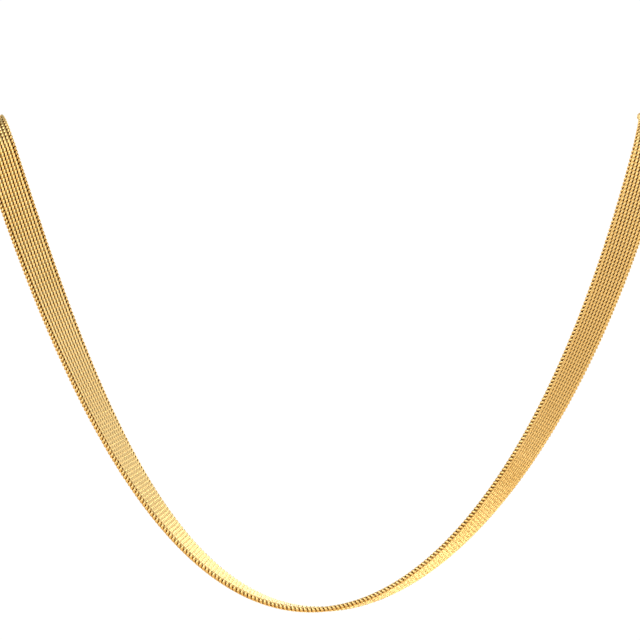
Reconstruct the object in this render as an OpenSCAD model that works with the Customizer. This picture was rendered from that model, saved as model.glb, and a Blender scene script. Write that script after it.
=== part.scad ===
// Flat necklace of woven wire mesh, closed by a plain sleeve clasp at the nape.
// +Z is up and the front hangs towards -Y. The origin is where the clasp rests on the back of the neck.

/* [Ribbon] */
// Width of the mesh ribbon
ribbon_w = 6; // [4:0.5:6.5]
// Thickness of the mesh ribbon
ribbon_t = 0.9; // [0.8:0.1:1.2]
// How far the ribbon's edges are rounded in from its corners
edge_round = 0.3; // [0.1:0.05:0.35]

/* [Front drop] */
// Height of the lowest point's middle below the nape
drop_h = 117; // [114:1:120]
// Height of the hanging curve, from its lowest point to where the arms turn back
arm_h = 76; // [70:1:80]
// Sideways scale of the hanging curve
curve_spread = 34.8; // [33:0.2:37]
// Upright scale of the hanging curve
curve_lift = 51.2; // [48:0.2:55]
// Largest sideways sway of the two arms, against the lowest point
sway = 1.8; // [0:0.1:3]
// Height at which the sway is largest
sway_h = 54; // [45:1:76]
// Radius on which each arm turns back over the shoulder
crest_r = 6.3; // [5:0.1:8]
// Angle through which it turns there, so that past 90 it runs a little downhill
crest_turn = 100; // [90:1:110]

/* [Twist] */
// Turn of the ribbon's face for each millimetre of run from the lowest point
twist_rate = 0.8; // [0.7:0.01:0.85]
// Further turn that builds up towards the top of each arm
top_turn = 6.5; // [0:0.5:8]

/* [Neck] */
// Distance from the front of the necklace back to the nape
neck_depth = 75; // [74:1:78]

/* [Clasp] */
// Length of the clasp, along the ribbon
clasp_l = 14; // [12:1:20]
// Height of the clasp, across the ribbon
clasp_h = 7.6; // [7.4:0.1:9]
// Thickness of the clasp
clasp_t = 2.6; // [2.4:0.1:3]
// How far each end of the ribbon goes into the clasp
seat_l = 3; // [2:0.5:4]
// Clear gap between the ribbon and the clasp
fit_gap = 0.15; // [0.1:0.01:0.2]

/* [Hidden] */
$fn = 48;

// Steps between rings: along the front, round each crest and along each hidden stretch
front_steps = 44;
crest_steps = 6;
back_steps = 15;
// Small step of t across which the direction of the front is taken
probe = 0.001;
// Power with which the further turn builds up along an arm
top_power = 4;
// Share of each hidden stretch over which the width turns upright
turn_share = 0.8;
// How far the cutters of the clasp's slots run past its ends
cut = 0.5;

clasp_y = clasp_t / 2;
front_y = clasp_y - neck_depth;
mouth_x = clasp_l / 2;
seat_x = mouth_x - seat_l;

function unit(v) = v / norm(v);
function ch(x) = (exp(x) + exp(-x)) / 2;
function sh(x) = (exp(x) - exp(-x)) / 2;
function arc_sh(v) = ln(v + sqrt(v * v + 1));
function arc_ch(v) = ln(v + sqrt(v * v - 1));
function clip(v) = max(0, min(1, v));
function ease(v) = let (c = clip(v)) c * c * (3 - 2 * c);

// The front hangs on a weighted catenary, height = lift * (cosh(x / spread) - 1), in a plane across the body.
// It runs by t from 0 at the lowest point to 1 where an arm turns back, on side -1 or +1.
steep = sh(arc_ch(1 + arm_h / curve_lift));
function height(t) = curve_lift * (ch(arc_sh(steep * t)) - 1);
function lean(z) = sway * (z / sway_h) * (2 - z / sway_h);
function front(side, t) = [
    side * curve_spread * arc_sh(steep * t) + lean(height(t)) - lean(arm_h),
    front_y,
    height(t) - drop_h
];
function front_dir(side, t) = unit(front(side, t + probe) - front(side, t - probe));

// Length of run from the lowest point, as a running sum of the chords between rings
half_steps = front_steps / 2;
function chord(side, i) = norm(front(side, i / half_steps) - front(side, (i - 1) / half_steps));
function runs(side) = [for (i = 0, s = 0; i <= half_steps; i = i + 1, s = s + chord(side, i)) s];

// Turn of the width about the run: 0 points straight back at the lowest point, 90 lies across the arm
function twist(s, s_top) = twist_rate * s + top_turn * pow(s / s_top, top_power);

// A ring is [middle, direction of the run, direction of the width], for a run that leaves the lowest point
function front_rings(side) =
    let (s = runs(side))
    [for (i = [0:half_steps])
        let (
            dir = front_dir(side, i / half_steps),
            inner = side * [-dir.z, 0, dir.x],
            a = twist(s[i], s[half_steps])
        )
        [front(side, i / half_steps), dir, cos(a) * [0, 1, 0] - side * sin(a) * inner]];

// Each crest is an arc that bends the ribbon flatwise, about its own width
function crest_rings(side) =
    let (
        top = front_rings(side)[half_steps],
        normal = cross(top[1], top[2]),
        back = sign(normal.y) * normal
    )
    [for (i = [1:crest_steps])
        let (phi = crest_turn * i / crest_steps)
        [top[0] + crest_r * (sin(phi) * top[1] + (1 - cos(phi)) * back),
         cos(phi) * top[1] + sin(phi) * back,
         top[2]]];

// The hidden stretch is a Bezier curve from the end of the crest to the mouth of the clasp.
// Its control points are placed by hand, as [outwards, back from the nape, up from the nape].
route = [
    [64, -52, -37],
    [69, -37, -30],
    [69, -3, 10],
    [37, 0, 0],
    [20, 0, 0]
];
lead = 5;
function controls(side) =
    let (last = crest_rings(side)[crest_steps - 1])
    [last[0],
     last[0] + lead * last[1],
     each [for (r = route) [side * r.x, clasp_y + r.y, r.z]],
     [side * mouth_x, clasp_y, 0]];
function between(p, v) =
    len(p) == 1 ? p[0] : between([for (i = [1:len(p) - 1]) p[i - 1] * (1 - v) + p[i] * v], v);
function heading(p, v) = unit(between([for (i = [1:len(p) - 1]) p[i] - p[i - 1]], v));
function upright(dir) = unit([0, 0, 1] - dir.z * dir);

// On the hidden stretch the width turns from the slope of the shoulder to upright against the neck
function back_rings(side) =
    let (
        p = controls(side),
        last = crest_rings(side)[crest_steps - 1],
        up = -side * last[2] * upright(last[1]),
        in = -last[2] * cross(upright(last[1]), last[1]),
        start = atan2(up, in)
    )
    [for (i = [1:back_steps])
        let (
            v = i / back_steps,
            dir = heading(p, v),
            a = start + (90 - start) * ease(v / turn_share),
            across = side * cross(upright(dir), dir)
        )
        [between(p, v), dir, -side * (cos(a) * across + sin(a) * upright(dir))]];

function half_rings(side) = [
    each front_rings(side),
    each crest_rings(side),
    each back_rings(side),
    [[side * seat_x, clasp_y, 0], [-side, 0, 0], [0, 0, -side]]
];

// All rings from the left end round the front to the right end, with every run pointing that way
function flipped(rings) = [for (i = [len(rings) - 1:-1:1]) [rings[i][0], -rings[i][1], rings[i][2]]];
loop_rings = concat(flipped(half_rings(-1)), half_rings(1));

// Section of the ribbon, as [along the width, across the thickness]
half_w = ribbon_w / 2;
half_t = ribbon_t / 2;
section = [
    [half_w, -half_t + edge_round], [half_w, half_t - edge_round],
    [half_w - edge_round, half_t], [-half_w + edge_round, half_t],
    [-half_w, half_t - edge_round], [-half_w, -half_t + edge_round],
    [-half_w + edge_round, -half_t], [half_w - edge_round, -half_t]
];

// Sweeps the section along the rings and closes both ends
module sweep(rings, shape) {
    n = len(shape);
    m = len(rings);
    points = [for (r = rings)
        let (face = cross(r[1], r[2]))
        for (q = shape) r[0] + q.x * r[2] + q.y * face];
    sides = [for (i = [0:m - 2]) for (j = [0:n - 1])
        let (a = i * n + j, b = i * n + (j + 1) % n)
        each [[a, b + n, b], [a, a + n, b + n]]];
    ends = [[for (j = [0:n - 1]) j], [for (j = [n - 1:-1:0]) (m - 1) * n + j]];
    polyhedron(points = points, faces = concat(sides, ends), convexity = 10);
}

module mesh_ribbon() {
    color("goldenrod") sweep(loop_rings, section);
}

// A flat sleeve with round edges, and a slot in each end for the ribbon
module clasp() {
    slot_l = seat_l + fit_gap;
    color("gold") difference() {
        translate([-clasp_l / 2, clasp_y, 0]) rotate([90, 0, 90]) linear_extrude(clasp_l) {
            square([clasp_t, clasp_h - clasp_t], center = true);
            for (z = [-1, 1]) translate([0, z * (clasp_h - clasp_t) / 2]) circle(d = clasp_t);
        }
        for (side = [-1, 1])
            translate([side * (mouth_x + (cut - slot_l) / 2), clasp_y, 0])
                cube([slot_l + cut, ribbon_t + 2 * fit_gap, ribbon_w + 2 * fit_gap], center = true);
    }
}

mesh_ribbon();
clasp();
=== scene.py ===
"""Looks of a flat gold necklace of woven wire mesh: its wire coils, clasp, finishes and studio.

Lengths are in metres. On the band, along follows its run from the left end to the right one, across is its
width and out is its thickness.
"""

import math

import bpy
import numpy as np
from bpy.props import FloatProperty, FloatVectorProperty, IntProperty, PointerProperty
from bpy.types import Operator, Panel, PropertyGroup
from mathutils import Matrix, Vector


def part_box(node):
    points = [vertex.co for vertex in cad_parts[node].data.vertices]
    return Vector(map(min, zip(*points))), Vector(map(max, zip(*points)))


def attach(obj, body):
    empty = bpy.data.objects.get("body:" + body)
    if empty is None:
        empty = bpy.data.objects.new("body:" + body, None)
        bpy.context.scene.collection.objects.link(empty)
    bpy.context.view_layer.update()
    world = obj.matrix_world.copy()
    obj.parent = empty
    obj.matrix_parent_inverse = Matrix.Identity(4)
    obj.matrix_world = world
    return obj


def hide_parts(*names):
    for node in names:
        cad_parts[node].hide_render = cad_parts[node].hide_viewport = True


bl_info = {
    "name": "Woven mesh necklace",
    "version": (1, 0, 0),
    "blender": (4, 5, 0),
    "location": "View3D > Sidebar > Necklace",
    "description": "Makes the wire coils, clasp, finishes and studio of a flat woven necklace",
    "category": "Add Mesh",
}

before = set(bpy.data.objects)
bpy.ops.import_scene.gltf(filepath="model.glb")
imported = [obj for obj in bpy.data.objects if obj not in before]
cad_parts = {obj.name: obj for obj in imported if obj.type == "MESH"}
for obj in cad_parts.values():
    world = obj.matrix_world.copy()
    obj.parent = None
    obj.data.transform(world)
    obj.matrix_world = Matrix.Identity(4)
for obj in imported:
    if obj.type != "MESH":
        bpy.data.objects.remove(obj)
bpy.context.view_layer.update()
BODY = "root"
BAND_NODE = "mesh_ribbon"
CLASP_NODE = "clasp"
CLASP_LOW, CLASP_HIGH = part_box(CLASP_NODE)
CLASP_Y = (CLASP_LOW.y + CLASP_HIGH.y) / 2.0

# Control points of each hidden stretch, as [outwards, back from the nape, up from the nape]
BACK_ROUTE = np.array([
    [0.064, -0.052, -0.037],
    [0.069, -0.037, -0.030],
    [0.069, -0.003, 0.010],
    [0.037, 0.000, 0.000],
    [0.020, 0.000, 0.000],
])

# Names of the band's pieces, from the left end to the right one
STRETCHES = [
    "mesh_nape_left",
    "mesh_shoulder_left",
    "mesh_front_left",
    "mesh_front_right",
    "mesh_shoulder_right",
    "mesh_nape_right",
]

BACKWARDS = np.array([0.0, 1.0, 0.0])
UPWARDS = np.array([0.0, 0.0, 1.0])
MM_PER_M = 1000.0


def length(name, description, default):
    """A property that holds a length in metres."""
    return FloatProperty(
        name=name,
        description=description,
        default=default,
        min=0.0,
        subtype="DISTANCE",
        unit="LENGTH",
        precision=5,
    )


def position(name, description, default):
    """A property that holds a position in metres, on either side of the origin."""
    return FloatProperty(name=name, description=description, default=default, unit="LENGTH", precision=5)


def turn(name, description, degrees):
    """A property that holds an angle."""
    return FloatProperty(
        name=name,
        description=description,
        default=math.radians(degrees),
        subtype="ANGLE",
        unit="ROTATION",
    )


def share(name, description, default, top=1.0):
    """A property that holds a plain number from 0 to top."""
    return FloatProperty(name=name, description=description, default=default, min=0.0, max=top)


def count(name, description, default, least):
    """A property that holds a whole number."""
    return IntProperty(name=name, description=description, default=default, min=least)


def colour(name, description, default):
    """A property that holds a colour."""
    return FloatVectorProperty(
        name=name,
        description=description,
        default=default,
        size=3,
        min=0.0,
        max=1.0,
        subtype="COLOR",
    )


class NecklaceRoute(PropertyGroup):
    drop: length("Drop", "Height of the lowest point's middle below the nape", 0.117)
    arm: length("Arm", "Height from the lowest point to where the arms turn back", 0.076)
    spread: length("Spread", "Sideways scale of the hanging curve", 0.0348)
    lift: length("Lift", "Upright scale of the hanging curve", 0.0512)
    sway: length("Sway", "Largest sideways sway of the arms", 0.0018)
    sway_height: length("Sway height", "Height at which the sway is largest", 0.054)
    crest_radius: length("Crest radius", "Radius on which each arm turns back", 0.0063)
    crest_turn: turn("Crest turn", "Angle through which each arm turns back", 100.0)
    twist: turn("Twist", "Turn of the band for each millimetre of run", 0.8)
    top_twist: turn("Top twist", "Further turn that builds up towards the top of each arm", 6.5)
    depth: length("Depth", "Distance from the front back to the nape", 0.075)
    lead: length("Lead", "How far the hidden stretch keeps the crest's direction", 0.005)
    seat: length("Seat", "How far each end goes into the clasp", 0.003)


class NecklaceWeave(PropertyGroup):
    width: length("Width", "Width of the band", 0.006)
    thickness: length("Thickness", "Thickness of the band", 0.0009)
    row: length("Row", "Distance between rows along the band", 0.000685)
    column: length("Column", "Distance between strands across the band", 0.0006)
    columns: count("Columns", "Strands of a row on the front face", 10, least=3)
    wire: length("Wire", "Diameter of the wire", 0.00031)
    reach: length("Reach", "Half the length of a coil's loop along the band", 0.00075)
    straight: length("Straight", "Half the length of a loop's straight part on each face", 0.00022)
    dive: share("Dive", "Power of a loop's dive, from 1 for a slope to 2 for an ellipse", 1.2, top=2.0)
    crossing: share("Crossing", "Share of a strand over which it moves to the next column", 0.65)
    slant: length("Slant", "Half the way along the band by which a wire slants round its edge", 0.00019)
    bulge: length("Bulge", "How far the wire bulges sideways where it goes round the edge", 0.00016)
    hook_steps: count("Hook steps", "Twelfths of a turn round the edge", 9, least=6)
    pressed: share("Pressed", "How much broader the wire is pressed where it goes round the edge", 0.95)
    rolled: share("Rolled", "How much broader the wire is rolled on the faces", 0.22)
    crown: share("Crown", "How much broader the wire is pressed where the rows hook together", 0.3)
    sides: count("Sides", "Sides of the wire's section", 5, least=3)
    steps: count("Steps", "Steps of the wire on each half loop", 6, least=4)
    unevenness: length("Unevenness", "Largest random shift of a row", 0.000012)
    sway_angle: turn("Row tilt", "Largest random tilt of a row", 0.8)


class NecklaceClasp(PropertyGroup):
    lip: length("Lip", "Radius of the clasp's rounded rims", 0.00035)
    pillow: length("Pillow", "How much the clasp's ends draw in from its middle", 0.00012)
    gap: length("Gap", "Clear gap round the band in the slots", 0.00015)
    bevel: length("Bevel", "Radius of the slots' corners", 0.00012)


class NecklaceFinish(PropertyGroup):
    gold: colour("Gold", "Colour of the polished wire", (1.0, 0.73, 0.32))
    rim: colour("Rim", "Colour of the wire at a grazing angle", (1.0, 0.92, 0.69))
    # Deep gold is painted shade: the colour towards which the wire is darkened deep in the weave
    deep: colour("Painted shade", "Colour of the painted shade deep in the weave", (0.14, 0.045, 0.002))
    clasp: colour("Clasp gold", "Colour of the polished clasp", (1.0, 0.77, 0.38))
    sheen: share("Roughness", "Roughness of the polished wire", 0.2)


class NecklaceStage(PropertyGroup):
    distance: length("Distance", "From the camera to the front of the necklace", 2.0)
    aside: position("Aside", "The camera's place along X", -0.00078)
    height: position("Height", "The camera's height", -0.0685)
    picture: length("Picture", "Width of the picture at the front of the necklace", 0.10726)
    floor_drop: length("Floor drop", "Height of the lowest point above the floor", 0.045)
    floor_radius: length("Floor radius", "Radius of the floor", 1.1)


# Route of the band

# Points worked out on each hanging arm and on each hidden stretch
FINE = 1500
# Points worked out round each crest
CREST_FINE = 150
# Small step of t across which the direction of an arm is taken
PROBE = 1e-4
# Power with which the top twist builds up along an arm
TOP_POWER = 4
# Share of each hidden stretch over which the width turns upright
TURN_SHARE = 0.8


def unit(v):
    """Vectors of length 1 with the directions of v."""
    return v / np.linalg.norm(v, axis=-1, keepdims=True)


def ease(v):
    """Smooth step from 0 to 1, 3v^2 - 2v^3."""
    v = np.clip(v, 0.0, 1.0)
    return v * v * (3.0 - 2.0 * v)


def upright(run):
    """Directions square to the run and as near as that allows to straight up."""
    return unit(UPWARDS - run[..., 2:] * run)


def run_length(middle):
    """Length gone along a line at each of its points."""
    return np.concatenate([[0.0], np.cumsum(np.linalg.norm(np.diff(middle, axis=0), axis=1))])


def bezier(points, v):
    """Bezier curve through the first and last of the points, by repeated mixing of neighbours."""
    rows = [np.repeat(p[None], len(v), 0) for p in points]
    while len(rows) > 1:
        rows = [a * (1.0 - v) + b * v for a, b in zip(rows, rows[1:])]
    return rows[0]


def hanging_arm(r, side, t):
    """Points of one arm by t, from 0 at the lowest point to 1 where it turns back.

    A weighted catenary: height is lift * (cosh(q) - 1) and the way aside is spread * q, where sinh(q) grows
    evenly with t. Both arms also sway aside by a parabola of the height.
    """
    q = np.arcsinh(math.sinh(math.acosh(1.0 + r.arm / r.lift)) * t)
    height = r.lift * (np.cosh(q) - 1.0)

    def sway(z):
        return r.sway * (z / r.sway_height) * (2.0 - z / r.sway_height)

    aside = side * r.spread * q + sway(height) - sway(r.arm)
    return np.stack([aside, np.full_like(q, CLASP_Y - r.depth), height - r.drop], -1)


def front_part(r, side):
    """Middle, run and width directions of one hanging arm.

    The width turns about the run in step with the length gone, and further by a power of it towards the top.
    """
    t = np.linspace(0.0, 1.0, FINE)
    middle = hanging_arm(r, side, t)
    run = unit(hanging_arm(r, side, t + PROBE) - hanging_arm(r, side, t - PROBE))
    inner = side * np.stack([-run[:, 2], np.zeros(FINE), run[:, 0]], -1)
    gone = run_length(middle)
    angle = (r.twist * gone * MM_PER_M + r.top_twist * (gone / gone[-1]) ** TOP_POWER)[:, None]
    return middle, run, np.cos(angle) * BACKWARDS - side * np.sin(angle) * inner


def crest_part(r, middle, run, width):
    """The arc by which an arm turns back from its last place, bending flatwise about its own width."""
    phi = np.linspace(0.0, r.crest_turn, CREST_FINE)[1:, None]
    back = np.cross(run, width)
    back *= np.sign(back[1])
    arc = middle + r.crest_radius * (np.sin(phi) * run + (1.0 - np.cos(phi)) * back)
    return arc, np.cos(phi) * run + np.sin(phi) * back, np.repeat(width[None], len(phi), 0)


def hidden_part(r, side, middle, run, width):
    """The Bezier stretch from the crest to the clasp's mouth. The width turns upright by a smooth step."""
    route = BACK_ROUTE * [side, 1.0, 1.0] + [0.0, CLASP_Y, 0.0]
    mouth = [side * CLASP_HIGH.x, CLASP_Y, 0.0]
    controls = np.vstack([middle, middle + r.lead * run, route, mouth])
    v = np.linspace(0.0, 1.0, FINE)[1:, None]
    curve = bezier(controls, v)
    curve_run = unit(bezier(np.diff(controls, axis=0), v))
    up = upright(curve_run)
    inwards = side * np.cross(up, curve_run)
    first_up = upright(run)
    first_in = side * np.cross(first_up, run)
    start = math.atan2(-side * width @ first_up, -side * width @ first_in)
    turned = start + (math.pi / 2.0 - start) * ease(v / TURN_SHARE)
    return curve, curve_run, -side * (np.cos(turned) * inwards + np.sin(turned) * up)


def half_route(r, side):
    """Middle, run and width directions from the lowest point into the clasp's slot on one side."""
    front = front_part(r, side)
    crest = crest_part(r, *[values[-1] for values in front])
    hidden = hidden_part(r, side, *[values[-1] for values in crest])
    seat = [[side * (CLASP_HIGH.x - r.seat), CLASP_Y, 0.0]], [[-side, 0.0, 0.0]], [[0.0, 0.0, -side]]
    return [np.concatenate(values) for values in zip(front, crest, hidden, seat)]


class BandSpace:
    """Bends the flat band to its route, where a place along is looked up and then moved across and out."""

    def __init__(self, r):
        left, right = half_route(r, -1.0), half_route(r, 1.0)
        self.middle = np.concatenate([left[0][:0:-1], right[0]])
        self.run = np.concatenate([-left[1][:0:-1], right[1]])
        self.width = np.concatenate([left[2][:0:-1], right[2]])
        self.out = np.cross(self.run, self.width)
        self.along = run_length(self.middle)
        self.length = self.along[-1]

    def looked_up(self, table, along):
        """Rows of one of the route's tables at those places along, by straight lines between its points."""
        return np.stack([np.interp(along, self.along, table[:, k]) for k in range(3)], -1)

    def place(self, along, across, out):
        """Points of the bent band at those places on the flat one."""
        width, face = (unit(self.looked_up(table, along)) for table in (self.width, self.out))
        return self.looked_up(self.middle, along) + across[..., None] * width + out[..., None] * face

    def turned(self, along, flat):
        """Directions (along, across, out) on the flat band, turned as the bent one is at those places."""
        tables = (self.run, self.width, self.out)
        return unit(sum(flat[..., k, None] * unit(self.looked_up(tables[k], along)) for k in range(3)))


# Meshes

# Places on a half loop of the coil run from minus this to this. It is straight from -1 to 1 and dives beyond.
LOOP_END = 3.0
# Power of the level by which the wire is rolled broader on the faces
ROLLED_POWER = 6
# Angle between two points of the wire round the band's edge
TWELFTH = math.pi / 6.0
# Keeps a whole number of steps from being rounded down
SLACK = 1e-9
# Size of the wire's rounded tip, as a share of its radius
TIP = 0.6
# Share of its full height above which the wire lies flat in the band's face
FLAT_LEVEL = 0.98
# Share of a point's own way below the band's surface that counts as depth, which sets the painted shade
BELOW_SHARE = 0.75
# Share of a dive that counts as depth beside the band's edges, and how many columns in it starts to grow
EDGE_SHARE = 0.5
EDGE_START = 0.4
# Rings round each rim of the clasp, rings along each half of its skin, and points on each ring
RIM_RINGS = 13
SKIN_RINGS = 8
SLEEVE_SIDES = 64


def mesh_piece(name, points, quads, triangles, material, values=None, normals=None):
    """A smooth mesh object from whole arrays. Values are on its points, and normals on its faces' corners."""
    mesh = bpy.data.meshes.new(name)
    mesh.vertices.add(len(points))
    mesh.vertices.foreach_set("co", np.ascontiguousarray(points, np.float32).ravel())
    corners = np.concatenate([quads.ravel(), triangles.ravel()]).astype(np.int32)
    sizes = np.concatenate([np.full(len(quads), 4), np.full(len(triangles), 3)])
    mesh.loops.add(len(corners))
    mesh.loops.foreach_set("vertex_index", corners)
    mesh.polygons.add(len(sizes))
    mesh.polygons.foreach_set("loop_start", (np.cumsum(sizes) - sizes).astype(np.int32))
    mesh.polygons.foreach_set("use_smooth", np.ones(len(sizes), bool))
    mesh.update(calc_edges=True)
    if normals is not None:
        own = mesh.attributes.new("custom_normal", "FLOAT_VECTOR", "CORNER")
        own.data.foreach_set("vector", np.ascontiguousarray(normals, np.float32).ravel())
    for label, numbers in (values or {}).items():
        mesh.attributes.new(label, "FLOAT", "POINT").data.foreach_set("value", numbers.astype(np.float32))
    mesh.materials.append(material)
    piece = bpy.data.objects.new(name, mesh)
    bpy.context.scene.collection.objects.link(piece)
    return piece


def round_angles(sides, first=0.0):
    """Angles of the corners of a ring, evenly round it, where the first is that share of a step on."""
    return (np.arange(sides) + first) * 2.0 * math.pi / sides


def tube_radius(w):
    """Radius of the section's corners, which stand out of the round wire as far as its sides lie in."""
    return w.wire / (1.0 + math.cos(math.pi / w.sides))


def coil_line(w):
    """Centre line of one wire coil on the flat band, its directions away from the inside, and its breadth.

    Line and directions are columns along, across and out, and the breadth is 1 where the wire is round. Each
    half loop runs straight along a face and dives into the band by a quarter of a superellipse at either end.
    Across climbs by a smooth step round the middle, and stays put where the wire passes the next row, so that
    strands lie side by side. At the band's edges the wire goes round from one face to the other by part of an
    ellipse that slants along the band, and ends inside. The level is 1 on the faces and 0 halfway between
    them. The breadth grows with a power of it, with the square of what it lacks of 1, and with the square of
    the sine round the edges.
    """
    halves = 2 * w.columns - 1
    rise = w.thickness / 2.0 - tube_radius(w) * math.cos(math.pi / w.sides)
    step = np.arange(w.steps - 1, (halves - 1) * w.steps + 2) / w.steps
    half = np.floor(step + SLACK)
    place = 2.0 * LOOP_END * (step - half) - LOOP_END
    drop = np.clip((np.abs(place) - 1.0) / (LOOP_END - 1.0), 0.0, 1.0) * math.pi / 2.0
    dip, level = np.sin(drop) ** (2.0 / w.dive), np.abs(np.cos(drop)) ** (2.0 / w.dive)
    along = w.straight * np.clip(place, -1.0, 1.0) + (w.reach - w.straight) * np.sign(place) * dip
    climb = half + ease((along / (w.crossing * w.reach) + 1.0) / 2.0)
    face = 1.0 - 2.0 * (half % 2.0)
    inner = np.stack([-face * along, (climb - halves / 2.0) * w.column / 2.0, face * rise * level], -1)
    inner_away = np.gradient(inner, axis=0)[:, ::-1] * [1.0, 0.0, -1.0]

    turned = np.arange(w.hook_steps, -1, -1) * TWELFTH
    hook_middle = w.width / 2.0 - w.wire / 2.0 - w.bulge
    hook = np.stack([
        w.slant * (2.0 * turned / math.pi - 1.0),
        -hook_middle - w.bulge * np.sin(turned),
        rise * np.cos(turned),
    ], -1)
    hook_away = np.stack([np.zeros_like(turned), -np.sin(turned), np.cos(turned)], -1)
    other = np.array([-1.0, -1.0, 1.0])
    line = np.concatenate([hook, inner, hook[::-1] * other])
    away = np.concatenate([hook_away, inner_away, hook_away[::-1] * other])
    hook_broad = 1.0 + w.pressed * np.sin(np.clip(turned, 0.0, math.pi)) ** 2
    inner_broad = 1.0 + w.rolled * level ** ROLLED_POWER + w.crown * (1.0 - level) ** 2
    return line, away, np.concatenate([hook_broad, inner_broad, hook_broad[::-1]])


def tube_round(line, away, broad, radius, sides):
    """Rings of a tube round a line, with rounded ends, and the directions out of the line that they lie in.

    Each ring is a circle square to the line, stretched sideways to broad times its width. It is set out from
    the direction away, made square to the line, so that one side of the section lies in the band's face. The
    end rings are smaller ones a little further on.
    """
    run = unit(np.gradient(line, axis=0))
    outward = unit(away - (away * run).sum(-1, keepdims=True) * run)
    beside = np.cross(run, outward)
    psi = round_angles(sides, 0.5)[:, None]
    circle = np.cos(psi) * outward[:, None] + np.sin(psi) * beside[:, None]
    stretch = (broad - 1.0)[:, None, None] * np.sin(psi) * beside[:, None]
    rings = line[:, None] + radius * (circle + stretch)
    tip = TIP * radius
    first = line[0] - tip * run[0] + tip * circle[0]
    last = line[-1] + tip * run[-1] + tip * circle[-1]
    rings = np.concatenate([first[None], rings, last[None]])
    circle = np.concatenate([circle[:1] - run[0], circle, circle[-1:] + run[-1]])
    return rings, circle, np.concatenate([outward[:1], outward, outward[-1:]])


def tube_faces(rings, sides):
    """Quads between rings and a fan of triangles over each end, for a tube of that many rings and sides."""
    ring, side = np.meshgrid(np.arange(rings - 1), np.arange(sides), indexing="ij")
    a = ring * sides + side
    b = ring * sides + (side + 1) % sides
    quads = np.stack([a, b, b + sides, a + sides], -1).reshape(-1, 4)
    fan = np.arange(1, sides - 1)
    low = np.stack([np.zeros_like(fan), fan + 1, fan], -1)
    high = (rings - 1) * sides + low[:, ::-1]
    return quads, np.concatenate([low, high])


def tilted(flat, tilt):
    """Columns along, across and out, turned about the band's width by the tilt of each row."""
    along, across, out = flat.T
    return np.stack([
        np.cos(tilt) * along - np.sin(tilt) * out,
        np.broadcast_to(across, (len(tilt), len(across))),
        np.sin(tilt) * along + np.cos(tilt) * out,
    ], -1)


class WireCoil:
    """One row's coil on the flat band: its points, faces, depths, and a normal for each corner."""

    def __init__(self, w):
        line, away, broad = coil_line(w)
        rings, circle, outward = tube_round(line, away, broad, tube_radius(w), w.sides)
        self.points = rings.reshape(-1, 3)
        self.quads, self.triangles = tube_faces(len(rings), w.sides)
        self.corners = np.concatenate([self.quads.ravel(), self.triangles.ravel()])
        level = np.abs(line[:, 2]) / np.abs(line[:, 2]).max()
        level = np.concatenate([level[:1], level, level[-1:]])
        self.depth = self.point_depth(w, level)
        self.normals = self.corner_normals(w, level, circle.reshape(-1, 3), outward)

    def point_depth(self, w, level):
        """How deep in the weave each point lies, from 0 to 1. The gold's painted shade and roughness grow
        with it.

        It is what the centre line's level lacks of 1, counted less beside the band's edges, or a share of
        the point's own way below the band's surface, whichever is more. Round the band's edges it is 0.
        """
        across, out = np.abs(self.points[:, 1]), np.abs(self.points[:, 2])
        below = np.minimum(w.thickness / 2.0 - out, w.width / 2.0 - across)
        below = np.clip(below / (w.thickness / 2.0), 0.0, 1.0)
        edge = w.width / 2.0 - across.reshape(-1, w.sides).max(1)
        counted = EDGE_SHARE + (1.0 - EDGE_SHARE) * ease(edge / w.column - EDGE_START)
        dived = np.repeat((1.0 - level) * counted, w.sides)
        depth = np.maximum(dived, BELOW_SHARE * below).reshape(-1, w.sides)
        hooked = w.hook_steps + 1
        depth[:hooked] = 0.0
        depth[-hooked:] = 0.0
        return depth.ravel()

    def corner_normals(self, w, level, circle, outward):
        """Normals as round as the wire, but square to the band's face where a side of the wire lies in it."""
        flat = np.zeros((len(level) - 1, w.sides), bool)
        flat[:, -1] = np.minimum(level[1:], level[:-1]) > FLAT_LEVEL
        flat = np.flatnonzero(np.repeat(flat, 4))
        normals = circle[self.corners]
        normals[flat] = np.repeat(outward, w.sides, 0)[self.corners[flat]]
        return normals


def weave_stretch(name, band, coil, w, material, rows, seed):
    """One stretch of the band: the coil laid at each row, with a small random shift and tilt of its own."""
    chance = np.random.default_rng(seed)
    shift = chance.uniform(-w.unevenness, w.unevenness, (len(rows), 2, 1))
    tilt = chance.uniform(-w.sway_angle, w.sway_angle, (len(rows), 1))
    laid = tilted(coil.points, tilt)
    along = rows[:, None] + laid[..., 0] + shift[:, 1]
    points = band.place(along, laid[..., 1] + shift[:, 0], laid[..., 2])
    normals = band.turned(along[:, coil.corners], tilted(coil.normals, tilt))
    quad_normals, end_normals = np.split(normals, [coil.quads.size], axis=1)
    first = np.arange(len(rows))[:, None, None] * len(coil.points)
    return mesh_piece(
        name,
        points.reshape(-1, 3),
        (coil.quads + first).reshape(-1, 4),
        (coil.triangles + first).reshape(-1, 3),
        material,
        {"depth": np.tile(coil.depth, len(rows))},
        np.concatenate([quad_normals.reshape(-1, 3), end_normals.reshape(-1, 3)]),
    )


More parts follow.
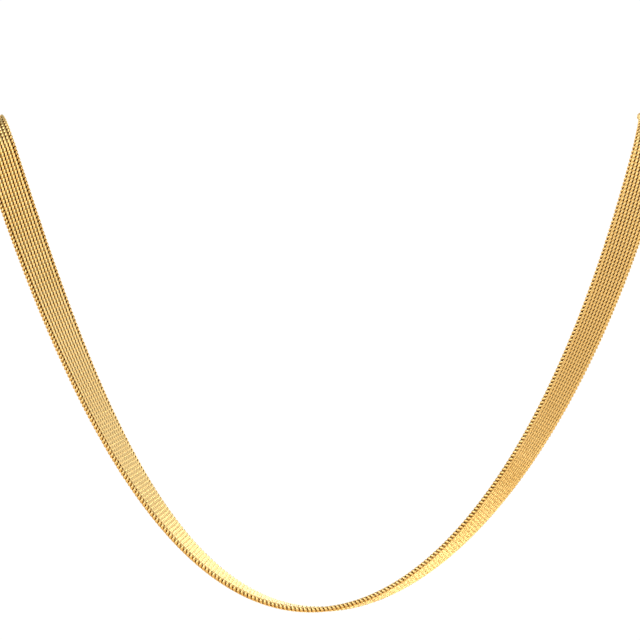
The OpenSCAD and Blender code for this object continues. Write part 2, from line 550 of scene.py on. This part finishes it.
def clasp_sleeve(name, c, w, seat, material):
    """The sleeve clasp, one surface of rings set out along X.

    Each ring is a rectangle with rounded corners. It starts on the floor of the left slot, runs out along the
    slot's walls, and rolls over the rim by a half circle while the rectangle grows to the outer skin. The
    skin swells by a parabola to its full size at the middle. The right half is the same, mirrored.
    """
    skin = np.array([CLASP_HIGH.z - CLASP_LOW.z, CLASP_HIGH.y - CLASP_LOW.y]) / 2.0
    slot = np.array([w.width, w.thickness]) / 2.0 + c.gap
    end, floor = CLASP_HIGH.x, CLASP_HIGH.x - seat - c.gap
    roll = np.linspace(0.0, math.pi, RIM_RINGS)
    back = np.linspace(end - c.lip, 0.0, SKIN_RINGS + 1)[1:]
    x = np.concatenate([[floor, floor + c.bevel], end - c.lip + c.lip * np.sin(roll), back])
    grown = np.concatenate([[0.0, 0.0], (1.0 - np.cos(roll)) / 2.0, np.ones(SKIN_RINGS)])[:, None]
    half = slot + grown * (skin - slot) - c.pillow * grown * (x[:, None] / end) ** 2
    half[0] -= c.bevel
    corner = np.minimum(c.bevel + grown * (skin[1] - c.bevel), half[:, 1:])
    x = np.concatenate([-x, x[-2::-1]])
    half = np.concatenate([half, half[-2::-1]])
    corner = np.concatenate([corner, corner[-2::-1]])
    angle = round_angles(SLEEVE_SIDES, 0.5)
    high = np.sign(np.cos(angle)) * (half[:, :1] - corner) + corner * np.cos(angle)
    thick = np.sign(np.sin(angle)) * (half[:, 1:] - corner) + corner * np.sin(angle)
    middle = (CLASP_LOW.z + CLASP_HIGH.z) / 2.0
    rings = np.stack([np.broadcast_to(x[:, None], high.shape), CLASP_Y - thick, middle + high], -1)
    quads, triangles = tube_faces(len(rings), SLEEVE_SIDES)
    return mesh_piece(name, rings.reshape(-1, 3), quads, triangles, material)


# Finishes

# How far the clouding moves the painted shade and the added roughness, either way
CLOUD_SHIFT = 0.1
# Depths between which the painted shade and the added roughness grow from none to full
SHADE_FROM = 0.22
SHADE_TO = 0.38
# How much rougher the gold is than polished gold where the painted shade is full
SHADE_ROUGHNESS = 0.6
# Strength and height of the drawing marks' relief
MARK_STRENGTH = 0.15
MARK_HEIGHT = 0.00001
# The floor's two tones as the gold mirrors it, its tone for the camera, and the scale of its clouding
MIRRORED_FLOOR = (0.8, 0.61, 0.35, 1.0), (0.83, 0.64, 0.38, 1.0)
SEEN_FLOOR = (0.83, 0.8, 0.75, 1.0)
FLOOR_CLOUDING = 3.0
FLOOR_ROUGHNESS = 0.9


def feed(tree, node, inputs):
    """Gives each input of a node its value, or a link where that is another node's output."""
    for key, value in inputs.items():
        if isinstance(value, bpy.types.NodeSocket):
            tree.links.new(value, node.inputs[key])
        else:
            node.inputs[key].default_value = value


def add(tree, kind, inputs=None, **settings):
    """A node of that kind with its settings and inputs."""
    node = tree.nodes.new(kind)
    for key, value in settings.items():
        setattr(node, key, value)
    feed(tree, node, inputs or {})
    return node


def new_group(name, inputs, outputs):
    """An empty shader node group with inputs as (name, kind, default) and outputs as (name, kind)."""
    group = bpy.data.node_groups.new(name, "ShaderNodeTree")
    for label, kind, default in inputs:
        socket = group.interface.new_socket(name=label, in_out="INPUT", socket_type=kind)
        socket.default_value = default
    for label, kind in outputs:
        group.interface.new_socket(name=label, in_out="OUTPUT", socket_type=kind)
    return group


def new_material(name):
    """A material, its node tree and its shader."""
    material = bpy.data.materials.new(name)
    material.use_nodes = True
    return material, material.node_tree, material.node_tree.nodes["Principled BSDF"]


def shaded_gold_group():
    """Gold browner by painted shade and rougher deep in the weave, with faint clouding and drawing marks.

    The mask is Depth through a smooth step, moved by a soft noise. Colour is the polished one times the deep
    one to the power of the mask, a painted shade that stands in for light thrown back and forth in a gap.
    Roughness grows with the mask. Height is a fine noise, the marks of drawing and polishing.
    """
    group = new_group(
        "shaded_gold",
        [
            ("Polished", "NodeSocketColor", (1.0, 0.75, 0.35, 1.0)),
            ("Deep", "NodeSocketColor", (0.8, 0.45, 0.12, 1.0)),
            ("Depth", "NodeSocketFloat", 0.0),
            ("Roughness", "NodeSocketFloat", 0.2),
            ("Clouding", "NodeSocketFloat", 60.0),
            ("Marks", "NodeSocketFloat", 9000.0),
        ],
        [("Color", "NodeSocketColor"), ("Roughness", "NodeSocketFloat"), ("Height", "NodeSocketFloat")],
    )
    given = add(group, "NodeGroupInput").outputs
    spot = add(group, "ShaderNodeTexCoord").outputs["Object"]
    cloud = add(group, "ShaderNodeTexNoise", {"Vector": spot, "Scale": given["Clouding"], "Detail": 3.0})
    marks = add(group, "ShaderNodeTexNoise", {"Vector": spot, "Scale": given["Marks"], "Detail": 2.0})
    moved = add(group, "ShaderNodeMapRange", {
        "Value": cloud.outputs["Fac"],
        "To Min": -CLOUD_SHIFT,
        "To Max": CLOUD_SHIFT,
    })
    depth_step = add(group, "ShaderNodeMapRange", {
        "Value": given["Depth"],
        "From Min": SHADE_FROM,
        "From Max": SHADE_TO,
    }, interpolation_type="SMOOTHSTEP")
    shade_and_roughness = add(group, "ShaderNodeMath", {
        0: depth_step.outputs["Result"],
        1: moved.outputs["Result"],
    }, operation="ADD", use_clamp=True)
    thrown = add(group, "ShaderNodeGamma", {"Color": given["Deep"], "Gamma": shade_and_roughness.outputs[0]})
    mixed = add(group, "ShaderNodeMix", {
        "Factor": 1.0,
        "A": given["Polished"],
        "B": thrown.outputs["Color"],
    }, data_type="RGBA", blend_type="MULTIPLY")
    rough = add(group, "ShaderNodeMath", {
        0: shade_and_roughness.outputs[0],
        1: SHADE_ROUGHNESS,
        2: given["Roughness"],
    }, operation="MULTIPLY_ADD", use_clamp=True)
    add(group, "NodeGroupOutput", {
        "Color": mixed.outputs["Result"],
        "Roughness": rough.outputs[0],
        "Height": marks.outputs["Fac"],
    })
    return group


def gold_material(name, polished, rim, deep, roughness, clouding, marks, depth_name=None):
    """A metal whose colour with its painted shade, roughness and bump come from the shaded gold group."""
    material, tree, shader = new_material(name)
    shaded_gold = bpy.data.node_groups.get("shaded_gold") or shaded_gold_group()
    gold = add(tree, "ShaderNodeGroup", {
        "Polished": (*polished, 1.0),
        "Deep": (*deep, 1.0),
        "Roughness": roughness,
        "Clouding": clouding,
        "Marks": marks,
    }, node_tree=shaded_gold)
    if depth_name:
        depth = add(tree, "ShaderNodeAttribute", attribute_name=depth_name)
        feed(tree, gold, {"Depth": depth.outputs["Fac"]})
    relief = add(tree, "ShaderNodeBump", {
        "Height": gold.outputs["Height"],
        "Distance": MARK_HEIGHT,
        "Strength": MARK_STRENGTH,
    })
    feed(tree, shader, {
        "Base Color": gold.outputs["Color"],
        "Roughness": gold.outputs["Roughness"],
        "Normal": relief.outputs["Normal"],
        "Metallic": 1.0,
        "Specular Tint": (*rim, 1.0),
    })
    return material


def floor_material():
    """Matte white paper, which the gold mirrors in a warmer and faintly uneven tone."""
    material, tree, shader = new_material("white_paper")
    spot = add(tree, "ShaderNodeTexCoord").outputs["Object"]
    cloud = add(tree, "ShaderNodeTexNoise", {"Vector": spot, "Scale": FLOOR_CLOUDING})
    warm = add(tree, "ShaderNodeMix", {
        "Factor": cloud.outputs["Fac"],
        "A": MIRRORED_FLOOR[0],
        "B": MIRRORED_FLOOR[1],
    }, data_type="RGBA")
    paper = add(tree, "ShaderNodeMix", {
        "Factor": add(tree, "ShaderNodeLightPath").outputs["Is Camera Ray"],
        "A": warm.outputs["Result"],
        "B": SEEN_FLOOR,
    }, data_type="RGBA")
    feed(tree, shader, {"Base Color": paper.outputs["Result"], "Roughness": FLOOR_ROUGHNESS})
    return material


# Studio

# Sensor width in millimetres and how far the camera sees
SENSOR = 36.0
CAMERA_REACH = 20.0
# Rings and spokes of the floor
FLOOR_RINGS = 12
FLOOR_SPOKES = 96
# Strength of the background for the camera
SEEN_WHITE = 1.05
# Soft round patches of the background that the gold mirrors. Each has the direction of its middle, the
# cosines of the angles from it at which the patch starts and is full, and the strengths outside and inside.
HIGH_WINDOW = (0.37, 0.84, 0.4), math.cos(math.radians(22.0)), math.cos(math.radians(12.0)), 1.01, 3.0
LOW_WINDOW = (0.08, 0.958, 0.276), math.cos(math.radians(13.0)), math.cos(math.radians(7.0)), 0.0, 2.0
RIGHT_SHADE = (0.85, 0.49, -0.19), math.cos(math.radians(50.0)), math.cos(math.radians(15.0)), 1.0, 0.8
TOP_SHADE = (0.0, 0.0, 1.0), 0.45, 0.8, 1.0, 0.35
FRONT_GLOW = (-0.55, -0.83, 0.1), 0.25, 0.8, 0.0, 0.45
# Each lamp's name, place, size in metres, power in watts, colour, and whether the gold mirrors it
LAMPS = [
    ("key", (-0.45, -0.75, 0.55), 0.5, 1.5, (1.0, 1.0, 1.0), True),
    ("floor_light", (0.3, -0.2, 1.2), 1.0, 2.0, (1.0, 0.95, 0.85), False),
    ("low_light", (0.05, 0.035, -0.085), 0.07, 0.22, (0.9, 1.15, 1.95), False),
]


def patch(tree, direction, towards, start, full, outside, inside):
    """Strength of one patch: a smooth step over the cosine between a direction and the patch's middle."""
    near = add(tree, "ShaderNodeVectorMath", {0: direction, 1: towards}, operation="DOT_PRODUCT")
    step = add(tree, "ShaderNodeMapRange", {
        "Value": near.outputs["Value"],
        "From Min": start,
        "From Max": full,
        "To Min": outside,
        "To Max": inside,
    }, interpolation_type="SMOOTHSTEP")
    return step.outputs["Result"]


def joined(tree, operation, *values):
    """Numbers put together by one operation."""
    return add(tree, "ShaderNodeMath", dict(enumerate(values)), operation=operation).outputs[0]


# Operators


class NECKLACE_OT_mesh_band(Operator):
    """Weaves the band's stretches from rows of wire coils"""

    bl_idname = "necklace.mesh_band"
    bl_label = "Mesh band"

    def execute(self, context):
        scene = context.scene
        w, f = scene.necklace_weave, scene.necklace_finish
        band = BandSpace(scene.necklace_route)
        coil = WireCoil(w)
        gold = gold_material(
            "woven_gold",
            polished=f.gold,
            rim=f.rim,
            deep=f.deep,
            roughness=f.sheen,
            clouding=60.0,
            marks=9000.0,
            depth_name="depth",
        )
        total = int((band.length - 2.0 * w.reach) / w.row)
        rows = band.length / 2.0 + (np.arange(total) - (total - 1) / 2.0) * w.row
        for seed, (name, part) in enumerate(zip(STRETCHES, np.array_split(rows, len(STRETCHES)))):
            piece = weave_stretch(name, band, coil, w, gold, part, seed)
            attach(piece, BODY)
            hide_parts(BAND_NODE)
        return {"FINISHED"}


class NECKLACE_OT_clasp(Operator):
    """Makes the sleeve that closes the band at the nape"""

    bl_idname = "necklace.clasp"
    bl_label = "Clasp"

    def execute(self, context):
        scene = context.scene
        c, w, f = scene.necklace_clasp, scene.necklace_weave, scene.necklace_finish
        gold = gold_material(
            "clasp_gold",
            polished=f.clasp,
            rim=f.rim,
            deep=f.gold,
            roughness=0.16,
            clouding=90.0,
            marks=4000.0,
        )
        piece = clasp_sleeve("sleeve_clasp", c, w, scene.necklace_route.seat, gold)
        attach(piece, BODY)
        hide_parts(CLASP_NODE)
        return {"FINISHED"}


class NECKLACE_OT_stage(Operator):
    """Sets up the camera, floor, background and lights"""

    bl_idname = "necklace.stage"
    bl_label = "Stage"

    def execute(self, context):
        scene = context.scene
        s, r = scene.necklace_stage, scene.necklace_route
        front = CLASP_Y - r.depth
        self.add_camera(scene, s, front)
        self.add_floor(s, r)
        self.add_world(scene)
        self.add_lights(scene, Vector((0.0, front, r.arm / 2.0 - r.drop)))
        scene.view_settings.view_transform = "Standard"
        return {"FINISHED"}

    def add_camera(self, scene, s, front):
        """A level camera straight in front, whose picture is that wide at the front of the necklace."""
        data = bpy.data.cameras.new("camera")
        data.sensor_width = SENSOR
        data.lens = SENSOR * s.distance / s.picture
        data.clip_end = CAMERA_REACH
        camera = bpy.data.objects.new("camera", data)
        camera.location = (s.aside, front - s.distance, s.height)
        camera.rotation_euler = (math.pi / 2.0, 0.0, 0.0)
        scene.collection.objects.link(camera)
        scene.camera = camera

    def add_floor(self, s, r):
        """A round floor under the necklace, of rings of points with a fan inside the smallest one."""
        radius = np.linspace(0.0, s.floor_radius, FLOOR_RINGS + 1)[1:, None]
        angle = round_angles(FLOOR_SPOKES)
        x, y = radius * np.cos(angle), radius * np.sin(angle) - r.depth / 2.0
        points = np.stack([x, y, np.full_like(x, -r.drop - s.floor_drop)], -1).reshape(-1, 3)
        quads, fans = tube_faces(FLOOR_RINGS, FLOOR_SPOKES)
        quads, middle = quads[:, ::-1], fans[: len(fans) // 2, ::-1]
        mesh_piece("floor", points, quads, middle, floor_material())

    def add_world(self, scene):
        """An even white for the camera, and soft patches of light for the gold to mirror.

        The strength there is both windows added up, times both shades, plus the glow in front.
        """
        world = bpy.data.worlds.new("white_studio")
        world.use_nodes = True
        tree = world.node_tree
        direction = add(tree, "ShaderNodeTexCoord").outputs["Generated"]
        high, low = patch(tree, direction, *HIGH_WINDOW), patch(tree, direction, *LOW_WINDOW)
        aside, above = patch(tree, direction, *RIGHT_SHADE), patch(tree, direction, *TOP_SHADE)
        front = patch(tree, direction, *FRONT_GLOW)
        shaded = joined(tree, "MULTIPLY", joined(tree, "ADD", high, low), aside)
        strength = add(tree, "ShaderNodeMix", {
            "Factor": add(tree, "ShaderNodeLightPath").outputs["Is Camera Ray"],
            "A": joined(tree, "MULTIPLY_ADD", shaded, above, front),
            "B": SEEN_WHITE,
        }, data_type="FLOAT")
        feed(tree, tree.nodes["Background"], {
            "Color": (1.0, 1.0, 1.0, 1.0),
            "Strength": strength.outputs["Result"],
        })
        scene.world = world

    def add_lights(self, scene, middle):
        """Round lamps. The one that the gold mirrors faces the front drop's middle, the others the floor."""
        for name, spot, size, power, tint, mirrored in LAMPS:
            data = bpy.data.lights.new(name, "AREA")
            data.shape = "DISK"
            data.size = size
            data.energy = power
            data.color = tint
            light = bpy.data.objects.new(name, data)
            light.location = Vector(spot)
            if mirrored:
                light.rotation_euler = (middle - light.location).to_track_quat("-Z", "Y").to_euler()
            light.visible_camera = False
            light.visible_glossy = mirrored
            scene.collection.objects.link(light)


class NECKLACE_PT_sidebar(Panel):
    """Lists the necklace's sizes, finishes and steps"""

    bl_idname = "NECKLACE_PT_sidebar"
    bl_label = "Woven necklace"
    bl_space_type = "VIEW_3D"
    bl_region_type = "UI"
    bl_category = "Necklace"

    def draw(self, context):
        for key, group in GROUPS.items():
            box = self.layout.box()
            box.label(text=key.replace("_", " ").capitalize())
            for name in group.__annotations__:
                box.prop(getattr(context.scene, key), name)
        for step in STEPS:
            self.layout.operator(step.bl_idname)


GROUPS = {
    "necklace_route": NecklaceRoute,
    "necklace_weave": NecklaceWeave,
    "necklace_clasp": NecklaceClasp,
    "necklace_finish": NecklaceFinish,
    "necklace_stage": NecklaceStage,
}
STEPS = (NECKLACE_OT_mesh_band, NECKLACE_OT_clasp, NECKLACE_OT_stage)
CLASSES = (*GROUPS.values(), *STEPS, NECKLACE_PT_sidebar)


def register():
    for item in CLASSES:
        bpy.utils.register_class(item)
    for key, group in GROUPS.items():
        setattr(bpy.types.Scene, key, PointerProperty(type=group))


def unregister():
    for key in GROUPS:
        delattr(bpy.types.Scene, key)
    for item in reversed(CLASSES):
        bpy.utils.unregister_class(item)


def main():
    register()
    bpy.ops.necklace.mesh_band()
    bpy.ops.necklace.clasp()
    bpy.ops.necklace.stage()


if __name__ == "__main__":
    main()
